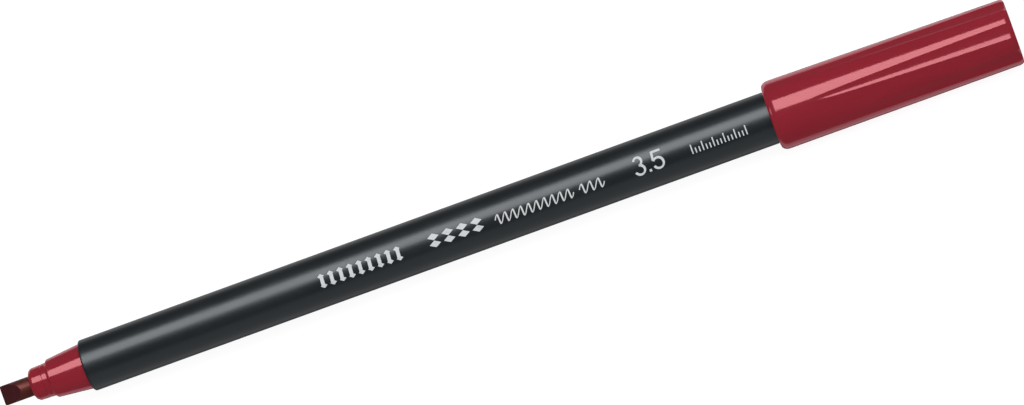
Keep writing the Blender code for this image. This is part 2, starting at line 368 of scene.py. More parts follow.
class NodeTree:
    """A short way to write a material's nodes."""

    def __init__(self, name: str) -> None:
        """Start a material with its own shader."""
        self.material = bpy.data.materials.new(name)
        self.material.use_nodes = True
        self.tree = self.material.node_tree
        self.shader = self.tree.nodes["Principled BSDF"]
        self.place = self.add("ShaderNodeTexCoord").outputs["Object"]

    def add(self, kind: str, **values: Any) -> bpy.types.Node:
        """Add a node and set its properties and its inputs by name.

        Args:
            kind: The node's type.
            **values: Properties, or inputs with underscores for spaces.

        Returns:
            The node.
        """
        node = self.tree.nodes.new(kind)
        for key, value in values.items():
            if hasattr(node, key):
                setattr(node, key, value)
            else:
                self.feed(node.inputs[key.replace("_", " ")], value)
        return node

    def feed(self, socket: bpy.types.NodeSocket, value: Any) -> None:
        """Link an output to a socket, or set the socket to a value."""
        if isinstance(value, bpy.types.NodeSocket):
            self.tree.links.new(value, socket)
        else:
            socket.default_value = value

    def set(self, **values: Any) -> None:
        """Feed the shader's inputs by name, with underscores for spaces."""
        for key, value in values.items():
            self.feed(self.shader.inputs[key.replace("_", " ")], value)

    def tint_specular(self, tint: tuple[float, float, float]) -> None:
        """Colour the shader's reflections."""
        self.shader.inputs["Specular Tint"].default_value = (*tint, 1.0)

    def stretched(self, along: float) -> bpy.types.NodeSocket:
        """Object coordinates drawn out along the pen by a factor."""
        mapping = self.add("ShaderNodeMapping", Vector=self.place)
        mapping.inputs["Scale"].default_value = (1.0 / along, 1.0, 1.0)
        return mapping.outputs["Vector"]

    def noise(
        self, scale: float, detail: float = 3.0, vector: Optional[bpy.types.NodeSocket] = None
    ) -> bpy.types.NodeSocket:
        """A noise pattern, as a number about 0.5.

        Args:
            scale: Features per metre.
            detail: Octaves.
            vector: Where it is read; object coordinates if left out.

        Returns:
            The factor output.
        """
        place = self.place if vector is None else vector
        node = self.add("ShaderNodeTexNoise", Vector=place, Scale=scale, Detail=detail)
        return node.outputs["Factor"] if "Factor" in node.outputs else node.outputs["Fac"]

    def ramp(
        self, value: bpy.types.NodeSocket, low: float, high: float, start: float, end: float
    ) -> bpy.types.NodeSocket:
        """Map a value from low..high to start..end, held at both ends.

        Args:
            value: The number to map.
            low: The input that gives start.
            high: The input that gives end.
            start: The output at low.
            end: The output at high.

        Returns:
            The mapped number.
        """
        node = self.add("ShaderNodeMapRange", Value=value)
        set_range(node, low, high, start, end)
        return node.outputs["Result"]

    def blend(
        self, factor: Any, first: Sequence[float], second: Sequence[float]
    ) -> bpy.types.NodeSocket:
        """Mix two colours by a factor.

        Args:
            factor: The share of the second colour.
            first: The colour at 0.
            second: The colour at 1.

        Returns:
            The mixed colour.
        """
        node = self.add("ShaderNodeMix", data_type="RGBA")
        self.feed(node.inputs[0], factor)
        node.inputs[6].default_value = (*first, 1.0)
        node.inputs[7].default_value = (*second, 1.0)
        return node.outputs[2]

    def bump(
        self, height: bpy.types.NodeSocket, distance: float, strength: float = 1.0
    ) -> bpy.types.NodeSocket:
        """A surface normal from a height pattern.

        Args:
            height: The pattern.
            distance: How tall a height of 1 is, in metres.
            strength: How much of it shows.

        Returns:
            The normal.
        """
        node = self.add("ShaderNodeBump", Height=height, Distance=distance, Strength=strength)
        return node.outputs["Normal"]

    def total(self, first: Any, second: Any) -> bpy.types.NodeSocket:
        """Add two numbers."""
        node = self.add("ShaderNodeMath", operation="ADD")
        self.feed(node.inputs[0], first)
        self.feed(node.inputs[1], second)
        return node.outputs[0]


@dataclass(frozen=True)
class SatinPlastic:
    """Near-black moulded plastic with a fine satin grain and faint draw lines along it."""

    color: tuple[float, float, float] = (0.0065, 0.0095, 0.0115)
    worn_color: tuple[float, float, float] = (0.0082, 0.0115, 0.0137)
    specular_tint: tuple[float, float, float] = (0.91, 0.96, 1.0)
    roughness: float = 0.32
    roughness_spread: float = 0.04
    patch_scale: float = 140.0
    grain_scale: float = 9000.0
    grain_height: float = 0.0000016
    line_scale: float = 1500.0
    line_stretch: float = 60.0

    def make(self, name: str) -> bpy.types.Material:
        """Build the material."""
        nodes = NodeTree(name)
        lines = nodes.noise(self.line_scale, 2.0, nodes.stretched(self.line_stretch))
        patches = nodes.noise(self.patch_scale, 4.0)
        grain = nodes.noise(self.grain_scale, 2.0)
        rough = nodes.total(
            nodes.ramp(patches, 0.3, 0.7, self.roughness - self.roughness_spread, self.roughness),
            nodes.ramp(lines, 0.3, 0.7, 0.0, self.roughness_spread),
        )
        wear = nodes.ramp(patches, 0.35, 0.75, 0.0, 1.0)
        nodes.set(
            Base_Color=nodes.blend(wear, self.color, self.worn_color),
            Roughness=rough,
            IOR=1.5,
            Normal=nodes.bump(grain, self.grain_height),
        )
        nodes.tint_specular(self.specular_tint)
        return nodes.material


@dataclass(frozen=True)
class GlossPlastic:
    """Deep red polished plastic: flow lines in its depth, faint rub marks and a soft ripple."""

    color: tuple[float, float, float] = (0.268, 0.0165, 0.0285)
    deep_color: tuple[float, float, float] = (0.245, 0.0140, 0.0250)
    roughness: float = 0.10
    rubbed_roughness: float = 0.17
    specular_level: float = 0.85
    specular_tint: tuple[float, float, float] = (1.0, 0.42, 0.455)
    flow_scale: float = 260.0
    flow_stretch: float = 5.0
    ripple_scale: float = 180.0
    ripple_height: float = 0.000006
    rub_scale: float = 2600.0
    rub_height: float = 0.0000008
    rub_stretch: float = 3.0

    def make(self, name: str) -> bpy.types.Material:
        """Build the material."""
        nodes = NodeTree(name)
        flow = nodes.noise(self.flow_scale, 3.0, nodes.stretched(self.flow_stretch))
        rub = nodes.noise(self.rub_scale, 3.0, nodes.stretched(self.rub_stretch))
        ripple = nodes.noise(self.ripple_scale, 1.0, nodes.stretched(self.rub_stretch))
        soft = nodes.bump(ripple, self.ripple_height)
        fine = nodes.add(
            "ShaderNodeBump", Height=rub, Distance=self.rub_height, Normal=soft
        ).outputs["Normal"]
        depth = nodes.ramp(flow, 0.35, 0.7, 0.0, 1.0)
        nodes.set(
            Base_Color=nodes.blend(depth, self.color, self.deep_color),
            Roughness=nodes.ramp(rub, 0.45, 0.8, self.roughness, self.rubbed_roughness),
            IOR=1.52,
            Normal=fine,
        )
        nodes.shader.inputs["Specular IOR Level"].default_value = self.specular_level
        nodes.tint_specular(self.specular_tint)
        return nodes.material


@dataclass(frozen=True)
class InkedFibre:
    """Bonded fibre: strands along the pen, stained by ink and darker where it was cut."""

    color: tuple[float, float, float] = (0.078, 0.0165, 0.0115)
    cut_color: tuple[float, float, float] = (0.045, 0.0085, 0.0105)
    roughness: float = 0.36
    specular_level: float = 0.5
    specular_tint: tuple[float, float, float] = (1.0, 0.42, 0.42)
    strand_height: float = 0.000012
    strand_scale: float = 5200.0
    strand_stretch: float = 14.0
    clump_scale: float = 900.0
    clump_stretch: float = 4.0
    stain_share: float = 0.72

    def make(self, name: str) -> bpy.types.Material:
        """Build the material."""
        nodes = NodeTree(name)
        strands = nodes.noise(self.strand_scale, 3.0, nodes.stretched(self.strand_stretch))
        clumps = nodes.noise(self.clump_scale, 3.0, nodes.stretched(self.clump_stretch))
        stain = nodes.ramp(clumps, 0.3, 0.7, 0.0, 1.0)
        stained = tuple(value * self.stain_share for value in self.color)
        nodes.set(
            Base_Color=nodes.blend(stain, self.color, stained),
            Roughness=nodes.ramp(strands, 0.3, 0.7, self.roughness - 0.06, self.roughness + 0.12),
            IOR=1.45,
            Normal=nodes.bump(strands, self.strand_height),
        )
        nodes.shader.inputs["Specular IOR Level"].default_value = self.specular_level
        nodes.tint_specular(self.specular_tint)
        return nodes.material


@dataclass(frozen=True)
class PrintInk:
    """White pad-printed ink, a little uneven, with pinholes."""

    color: tuple[float, float, float] = (0.64, 0.655, 0.66)
    thin_color: tuple[float, float, float] = (0.47, 0.485, 0.49)
    roughness: float = 0.5
    patch_scale: float = 1800.0
    grain_scale: float = 7000.0
    grain_height: float = 0.000002

    def make(self, name: str) -> bpy.types.Material:
        """Build the material."""
        nodes = NodeTree(name)
        patches = nodes.noise(self.patch_scale, 4.0)
        thinness = nodes.ramp(patches, 0.5, 0.85, 0.0, 1.0)
        nodes.set(
            Base_Color=nodes.blend(thinness, self.color, self.thin_color),
            Roughness=nodes.ramp(patches, 0.3, 0.7, self.roughness, self.roughness + 0.15),
            Normal=nodes.bump(nodes.noise(self.grain_scale, 2.0), self.grain_height),
        )
        return nodes.material


@dataclass(frozen=True)
class PalePlastic:
    """Milky moulded plastic that lets a little light in."""

    color: tuple[float, float, float] = (0.70, 0.69, 0.65)
    roughness: float = 0.34
    cloud_scale: float = 400.0
    cloud_height: float = 0.000004
    cloud_share: float = 0.9

    def make(self, name: str) -> bpy.types.Material:
        """Build the material."""
        nodes = NodeTree(name)
        cloud = nodes.noise(self.cloud_scale, 3.0)
        clouded = tuple(value * self.cloud_share for value in self.color)
        nodes.set(
            Base_Color=nodes.blend(cloud, self.color, clouded),
            Roughness=nodes.ramp(cloud, 0.3, 0.7, self.roughness - 0.05, self.roughness + 0.08),
            Normal=nodes.bump(cloud, self.cloud_height),
        )
        return nodes.material


@dataclass(frozen=True)
class Finishes:
    """Every material of the pen, made once."""

    barrel: bpy.types.Material
    gloss: bpy.types.Material
    rod: bpy.types.Material
    cut: bpy.types.Material
    core: bpy.types.Material
    film: bpy.types.Material
    liner: bpy.types.Material
    ink: bpy.types.Material

    @staticmethod
    def make() -> "Finishes":
        """Build them all."""
        cut = InkedFibre(color=InkedFibre.cut_color, roughness=0.7, specular_level=0.12)
        core = InkedFibre(color=(0.42, 0.10, 0.09), roughness=0.8, specular_level=0.2)
        return Finishes(
            barrel=SatinPlastic().make("satin_black_plastic"),
            gloss=GlossPlastic().make("gloss_red_plastic"),
            rod=InkedFibre().make("inked_fibre"),
            cut=cut.make("cut_fibre"),
            core=core.make("ink_core_fibre"),
            film=PalePlastic(color=(0.78, 0.80, 0.80), roughness=0.2).make("film"),
            liner=PalePlastic().make("liner_plastic"),
            ink=PrintInk().make("print_ink"),
        )


# --------------------------------------------------------------------------------------
# The pen
# --------------------------------------------------------------------------------------


@dataclass
class BarrelTube:
    """The black tube, with a round front edge, a counterbore and a plain bore."""

    turning: Turning
    front_round: float = 0.43 * MM
    rear_round: float = 0.3 * MM
    counterbore_radius: float = 3.99 * MM
    counterbore_depth: float = 1.0 * MM
    bore_radius: float = 3.55 * MM

    def build(self, finishes: Finishes) -> bpy.types.Object:
        """Build the tube and put it on the pen."""
        axis = self.turning.axis
        front, rear = axis.span("barrel")
        radius = axis.radius_of("barrel")
        outline = Outline()
        outline.to(rear, self.bore_radius)
        rear_center = (rear - self.rear_round, radius - self.rear_round)
        outline.bend(rear_center, (self.rear_round, self.rear_round), 90, 0)
        outline.run(front + self.front_round, radius, 40)
        front_center = (front + self.front_round, radius - self.front_round)
        outline.bend(front_center, (self.front_round, self.front_round), 0, -90, 10)
        outline.to(front, self.counterbore_radius)
        outline.to(front + self.counterbore_depth, self.counterbore_radius)
        outline.to(front + self.counterbore_depth, self.bore_radius)
        mesh = self.turning.skin("barrel_tube", outline, True)
        return add_piece(mesh, finishes.barrel, Body.PEN, ["barrel"])


@dataclass
class NibSection:
    """The red front moulding: nose, grooved collar, step and cone, with a spigot behind."""

    turning: Turning
    bore_radius: float = 1.8 * MM
    face_radius: float = 2.0 * MM
    corner: tuple[float, float] = (5.62 * MM, 2.42 * MM)
    collar_front: tuple[float, float] = (6.08 * MM, 2.78 * MM)
    collar_rear: tuple[float, float] = (8.70 * MM, 2.89 * MM)
    step_rear: tuple[float, float] = (9.12 * MM, 3.32 * MM)
    cone_radius: float = 3.93 * MM
    groove: float = 7.8 * MM
    groove_width: float = 0.22 * MM
    groove_depth: float = 0.07 * MM
    spigot_radius: float = 3.48 * MM
    cone_gap: float = 0.15 * MM
    edge_softness: float = 0.09 * MM
    shoulder_depth: float = 0.8 * MM
    spigot_lead: tuple[float, float] = (0.4 * MM, 0.25 * MM)
    parting_height: float = 0.012 * MM
    parting_width: float = math.radians(0.9)

    def parting_line(self, station: Array, radius: Array, angle: Array) -> Array:
        """Raise a hair of flash where the mould halves met.

        The radius grows by height times exp(-(d / width)^2), where d is the angle from the
        nearer of the two parting planes, at a right angle to facing.

        Args:
            station: Stations, which the line doesn't depend on.
            radius: Plain radii.
            angle: Angles from facing.

        Returns:
            The radii with the line.
        """
        distance = np.abs(np.mod(angle, math.pi) - math.pi / 2)
        return radius + self.parting_height * np.exp(-((distance / self.parting_width) ** 2))

    def build(self, finishes: Finishes) -> bpy.types.Object:
        """Build the moulding and put it on the pen."""
        axis = self.turning.axis
        front, rear = axis.span("nib_section")
        barrel_front = axis.span("barrel")[0]
        slope = (self.collar_rear[1] - self.collar_front[1]) / (
            self.collar_rear[0] - self.collar_front[0]
        )
        groove_radius = self.collar_front[1] + slope * (self.groove - self.collar_front[0])
        half = self.groove_width / 2
        visible = Outline()
        visible.to(front, self.bore_radius)
        visible.to(front, self.face_radius)
        visible.to(*self.corner)
        visible.to(*self.collar_front)
        visible.to(self.groove - half, groove_radius - slope * half)
        visible.to(self.groove, groove_radius - self.groove_depth)
        visible.to(self.groove + half, groove_radius + slope * half)
        visible.to(*self.collar_rear)
        visible.to(*self.step_rear)
        visible.to(barrel_front - self.cone_gap, self.cone_radius)
        outline = visible.softened(self.edge_softness, 4)
        outline.to(barrel_front + self.shoulder_depth, self.cone_radius)
        outline.to(barrel_front + self.shoulder_depth, self.spigot_radius)
        outline.to(rear - self.spigot_lead[0], self.spigot_radius)
        outline.to(rear, self.spigot_radius - self.spigot_lead[1])
        outline.to(rear, self.bore_radius)
        mesh = self.turning.skin("section_moulding", outline, True, self.parting_line)
        return add_piece(mesh, finishes.gloss, Body.PEN, ["nib_section"])


@dataclass
class FibreNib:
    """The fibre rod, cut by a long bevel on the reading side and a short one behind."""

    turning: Turning
    bevel_length: float = 3.5 * MM
    edge_height: float = -0.3 * MM
    edge_thickness: float = 0.2 * MM
    back_angle: float = math.radians(45.0)
    crease: float = 0.10 * MM
    rim: float = 0.10 * MM
    tail_radius: float = 0.9 * MM
    tail_taper: float = 2.6 * MM
    rings: int = 44
    side_rows: int = 24
    taper_rows: int = 4

    def soft_max(self, first: Array, second: Array) -> Array:
        """The larger of two numbers, rounded where they cross.

        It is (a + b + sqrt((a - b)^2 + crease^2)) / 2.
        """
        return (first + second + np.sqrt((first - second) ** 2 + self.crease**2)) / 2

    def cut_station(self, height: Array) -> Array:
        """Where the worn cut end lies, at a height above the axis plane along facing.

        The end is the furthest back of three planes: the flat tip at station 0, the bevel
        (h - edge) / tan(rise), and the back bevel (edge - thickness - h) / tan(back angle).

        Args:
            height: Distances from the axis plane, towards facing.

        Returns:
            Stations.
        """
        radius = self.turning.axis.radius_of("nib")
        rise = (radius - self.edge_height) / self.bevel_length
        bevel = (height - self.edge_height) / rise
        back = (self.edge_height - self.edge_thickness - height) / math.tan(self.back_angle)
        return self.soft_max(self.soft_max(bevel, back), np.zeros_like(height))

    def build(self, finishes: Finishes) -> bpy.types.Object:
        """Build the rod and put it on the pen.

        The rows run from the middle of the cut end out to its rim, then along the rod to its
        tapered tail. A cut row at share f of the radius lies on the cut station of its own height,
        and drops back by a quarter round over the last stretch before the rim.

        Args:
            finishes: The materials.

        Returns:
            The nib.
        """
        axis = self.turning.axis
        radius = axis.radius_of("nib")
        tail = axis.span("nib")[1]
        angle = np.arange(self.turning.segments) * (2 * math.pi / self.turning.segments)
        turn = np.sin(np.linspace(0.0, math.pi / 2, self.rings + 1)[1:])
        share = turn[:, None]
        inner = 1 - self.rim / radius
        edge = np.clip((share - inner) / (1 - inner), 0.0, 1.0)
        drop = self.rim * (1 - np.sqrt(1 - edge**2))
        cut = self.cut_station(radius * share * np.cos(angle)) + drop
        start = cut[-1]
        side_share = np.linspace(0.0, 1.0, self.side_rows + 1)[1:, None]
        side = start + (tail - self.tail_taper - start) * side_share
        taper = np.linspace(0.0, 1.0, self.taper_rows + 1)[1:, None]
        end = tail - self.tail_taper + self.tail_taper * taper
        stations = np.vstack((cut, side, np.broadcast_to(end, (len(end), len(angle)))))
        radii = np.concatenate(
            (
                radius * share[:, 0],
                np.full(len(side), radius),
                radius + (self.tail_radius - radius) * taper[:, 0],
            )
        )
        outline = Outline([(0.0, 0.0)])
        for value in radii:
            outline.to(0.0, float(value))
        outline.to(tail, 0.0)
        center = float(self.cut_station(np.zeros(1))[0])
        outline.points[0] = (center, 0.0)
        mesh = self.turning.skin("nib_fibre", outline, False)
        points = axis.place(stations, radii[:, None], angle[None, :]).reshape(-1, 3)
        mesh.vertices.foreach_set("co", np.vstack((points, self.ends(mesh))).ravel())
        mesh.update()
        mesh.materials.append(finishes.rod)
        piece = add_piece(mesh, finishes.cut, Body.PEN, ["nib"])
        self.dress_cut(mesh)
        return piece

    def ends(self, mesh: bpy.types.Mesh) -> Array:
        """The two pole vertices of a turned mesh, which are its last."""
        places = np.empty(len(mesh.vertices) * 3)
        mesh.vertices.foreach_get("co", places)
        return places.reshape(-1, 3)[-2:]

    def dress_cut(self, mesh: bpy.types.Mesh) -> None:
        """Give the faces of the cut end the cut finish, which is the second slot."""
        segments = self.turning.segments
        numbers = np.arange(len(mesh.polygons))
        quads = (len(mesh.vertices) - 2) // segments - 1
        first_fan = quads * segments
        is_cut = (numbers < (self.rings - 2) * segments) | (
            (numbers >= first_fan) & (numbers < first_fan + segments)
        )
        mesh.polygons.foreach_set("material_index", is_cut.astype(np.int32))
        mesh.update()


@dataclass
class InkSupply:
    """The fibre core and its film sleeve, inside the barrel."""

    turning: Turning
    socket_radius: float = 1.8 * MM
    socket_depth: float = 9.4 * MM
    film_inner: float = 3.22 * MM
    core_edge: float = 0.1 * MM

    def build(self, finishes: Finishes) -> list[bpy.types.Object]:
        """Build the core and the sleeve."""
        axis = self.turning.axis
        front, rear = axis.span("ink_reservoir")
        radius = axis.radius_of("ink_reservoir")
        core = Outline().to(front + self.socket_depth, 0.0)
        core.to(front + self.socket_depth, self.socket_radius)
        core.to(front, self.socket_radius)
        core.to(front, radius - self.core_edge).to(front + self.core_edge, radius)
        core.run(rear - self.core_edge, radius, 20)
        core.to(rear, radius - self.core_edge).to(rear, 0.0)
        film_front, film_rear = axis.span("reservoir_film")
        film_radius = axis.radius_of("reservoir_film")
        film = Outline().to(film_front, self.film_inner).to(film_front, film_radius)
        film.run(film_rear, film_radius, 20).to(film_rear, self.film_inner)
        core_mesh = self.turning.skin("ink_core", core, False)
        film_mesh = self.turning.skin("film_sleeve", film, True)
        return [
            add_piece(core_mesh, finishes.core, Body.PEN, ["ink_reservoir"]),
            add_piece(film_mesh, finishes.film, Body.PEN, ["reservoir_film"]),
        ]


@dataclass
class RearPlug:
    """The cup that closes the rear of the barrel, with a dimple where it was fed."""

    turning: Turning
    spigot_radius: float = 3.48 * MM
    bore_radius: float = 2.7 * MM
    flange_thickness: float = 0.9 * MM
    floor_thickness: float = 1.8 * MM
    edge_round: float = 0.25 * MM
    lead_in: float = 0.4 * MM
    dimple_radius: float = 1.1 * MM
    dimple_depth: float = 0.25 * MM

    def build(self, finishes: Finishes) -> bpy.types.Object:
        """Build the plug and put it on the pen."""
        axis = self.turning.axis
        front, rear = axis.span("rear_plug")
        radius = axis.radius_of("rear_plug")
        flange = rear - self.flange_thickness
        floor = rear - self.floor_thickness
        outline = Outline().to(floor, 0.0).to(floor, self.bore_radius)
        outline.to(front, self.bore_radius).to(front, self.spigot_radius - self.edge_round)
        outline.to(front + self.lead_in, self.spigot_radius).to(flange, self.spigot_radius)
        outline.to(flange, radius)
        center = (rear - self.edge_round, radius - self.edge_round)
        outline.bend(center, (self.edge_round, self.edge_round), 0, 90)
        outline.to(rear, self.dimple_radius)
        outline.to(rear - self.dimple_depth, self.dimple_radius * 0.8)
        outline.to(rear - self.dimple_depth, 0.0)
        mesh = self.turning.skin("plug_moulding", outline, False)
        return add_piece(mesh, finishes.barrel, Body.PEN, ["rear_plug"])


@dataclass
class FlutedCap:
    """The cap: a tapered tube, closed at the rear, with flutes that deepen to the end."""

    turning: Turning
    end_radius: float = 5.67 * MM
    lip_round: tuple[float, float] = (1.35 * MM, 0.90 * MM)
    end_round: tuple[float, float] = (0.95 * MM, 0.48 * MM)
    bore_radius: float = 4.54 * MM
    bore_round: float = 0.2 * MM
    wall: float = 2.4 * MM
    flutes: int = 7
    flute_turn: float = math.radians(3.7)
    flute_run_in: float = 7.8 * MM
    flute_depth: float = 0.27 * MM
    flute_growth: float = 0.62
    flute_start_curve: float = 2.2 * MM
    flute_end_curve: float = 7.8 * MM
    edge_softness: float = 0.035 * MM
    gate_radius: float = 0.8 * MM
    gate_depth: float = 0.12 * MM
    round_gap: float = 0.06 * MM
    droop: float = math.radians(0.38)

    def plain_radius(self, station: Array) -> Array:
        """The tapered radius at a station, before the flutes are cut."""
        front, rear = self.turning.axis.span("cap_shell")
        mouth = self.turning.axis.radius_of("cap_shell")
        share = np.clip((station - front) / (rear - front), 0.0, 1.0)
        return mouth + (self.end_radius - mouth) * share

    def fluted_radius(self, station: Array, angle: Array) -> Array:
        """The radius of the fluted wall.

        A flute is the hollow that a round of radius c leaves when it is sunk to a depth d in a
        wall of radius R. Its middle is D = R + c - d from the axis, so along a ray at an angle a
        from the flute its near side is at D cos(a) - sqrt(c^2 - D^2 sin^2(a)). The wall is the
        smaller of that and R, with the meeting edge eased over a short width.

        Args:
            station: Stations.
            angle: Angles from facing.

        Returns:
            Radii.
        """
        front, rear = self.turning.axis.span("cap_shell")
        start = front + self.flute_run_in
        share = np.clip((station - start) / (rear - start), 0.0, 1.0)
        depth = self.flute_depth * share**self.flute_growth
        curve = self.flute_start_curve + (self.flute_end_curve - self.flute_start_curve) * share
        wall = self.plain_radius(station)
        pitch = 2 * math.pi / self.flutes
        away = np.mod(angle - self.flute_turn + pitch / 2, pitch) - pitch / 2
        middle = wall + curve - depth
        inside = np.maximum(curve**2 - (middle * np.sin(away)) ** 2, 0.0)
        hollow = np.where(inside > 0.0, middle * np.cos(away) - np.sqrt(inside), wall * 1.2)
        gap = np.clip(0.5 + 0.5 * (wall - hollow) / self.edge_softness, 0.0, 1.0)
        eased = wall + (hollow - wall) * gap - self.edge_softness * gap * (1 - gap)
        return np.where(share > 0.0, eased, wall)

    def shape(self, station: Array, radius: Array, angle: Array) -> Array:
        """Give the outer wall its flutes, and fade them out over the flat end.

        The outline's radius is scaled by the fluted radius over the plain one. The scaling has
        full effect on the wall and the end's round, none inside the bore, and fades with the
        square of the radius over the flat end.

        Args:
            station: Stations.
            radius: Radii of the plain outline.
            angle: Angles from facing.

        Returns:
            The radii.
        """
        rear = self.turning.axis.span("cap_shell")[1]
        wall = self.plain_radius(station)
        scale = self.fluted_radius(station, angle) / wall
        outside = radius > self.bore_radius + self.bore_round * 1.5
        on_end = station > rear - self.gate_depth * 1.5
        fade = np.clip(radius / (self.end_radius - self.end_round[1]), 0.0, 1.0) ** 2
        weight = np.where(on_end, fade, np.where(outside, 1.0, 0.0))
        return radius * (1 + (scale - 1) * weight)

    def build(self, finishes: Finishes) -> bpy.types.Object:
        """Build the cap and put it on its body."""
        front, rear = self.turning.axis.span("cap_shell")
        mouth = self.turning.axis.radius_of("cap_shell")
        end_flat = self.end_radius - self.end_round[1]
        outline = Outline().to(rear - self.gate_depth, 0.0)
        outline.to(rear - self.gate_depth, self.gate_radius * 0.8)
        outline.to(rear, self.gate_radius)
        outline.run(rear, end_flat - self.round_gap, 8)
        outline.bend((rear - self.end_round[0], end_flat), self.end_round, 90, 0, 12)
        outline.run(front + self.lip_round[0] + self.round_gap, mouth, 110)
        lip_center = (front + self.lip_round[0], mouth - self.lip_round[1])
        outline.bend(lip_center, self.lip_round, 0, -90, 12)
        bore_center = (front + self.bore_round, self.bore_radius + self.bore_round)
        outline.bend(bore_center, (self.bore_round, self.bore_round), -90, -180, 5)
        outline.run(rear - self.wall, self.bore_radius, 12)
        outline.to(rear - self.wall, 0.0)
        mesh = self.turning.skin("cap_moulding", outline, False, self.shape)
        mesh.transform(self.settled())
        return add_piece(mesh, finishes.gloss, Body.CAP, ["cap_shell"])

    def settled(self) -> Matrix:
        """How the cap settles in its slip fit: a turn about the middle of its grip on the barrel.

        The closed end sinks, in the plane of the pen and across, by the droop angle.

        Returns:
            The transform.
        """
        axis = self.turning.axis
        grip = (axis.span("cap_shell")[0] + axis.span("barrel")[1]) / 2
        pivot = Matrix.Translation((axis.tip + grip, 0.0, axis.height))
        turn = Matrix.Rotation(-self.droop, 4, Vector(axis.facing))
        return pivot @ turn @ pivot.inverted()


@dataclass
class CapLiner:
    """The pale cup inside the cap that seals around the nib section."""

    turning: Turning
    settled: Matrix
    bore_radius: float = 3.35 * MM
    lead_in: float = 0.5 * MM
    floor_thickness: float = 1.0 * MM
    rear_edge: float = 0.15 * MM
    front_edge: float = 0.1 * MM

    def build(self, finishes: Finishes) -> bpy.types.Object:
        """Build the liner and put it in the cap."""
        axis = self.turning.axis
        front, rear = axis.span("cap_liner")
        radius = axis.radius_of("cap_liner")
        floor = rear - self.floor_thickness
        outline = Outline().to(rear, 0.0).to(rear, radius - self.rear_edge)
        outline.to(rear - self.rear_edge, radius)
        outline.run(front + self.front_edge, radius, 8).to(front, radius - self.front_edge)
        outline.to(front, self.bore_radius + self.lead_in)
        outline.to(front + self.lead_in, self.bore_radius).run(floor, self.bore_radius, 8)
        outline.to(floor, 0.0)
        mesh = self.turning.skin("liner_moulding", outline, False)
        mesh.transform(self.settled)
        return add_piece(mesh, finishes.liner, Body.CAP, ["cap_liner"])


# --------------------------------------------------------------------------------------
# The print on the barrel
# --------------------------------------------------------------------------------------


@dataclass(frozen=True)
class ChiselPen:
    """A broad pen held at one angle, which draws thick one way and thin the other."""

    thick: float
    thin: float
    angle: float = math.radians(40.0)

    def width(self, direction: Array) -> Array:
        """The line's width in a direction.

        It is thin plus (thick - thin) times |sin(direction - angle)|.
        """
        return self.thin + (self.thick - self.thin) * np.abs(np.sin(direction - self.angle))


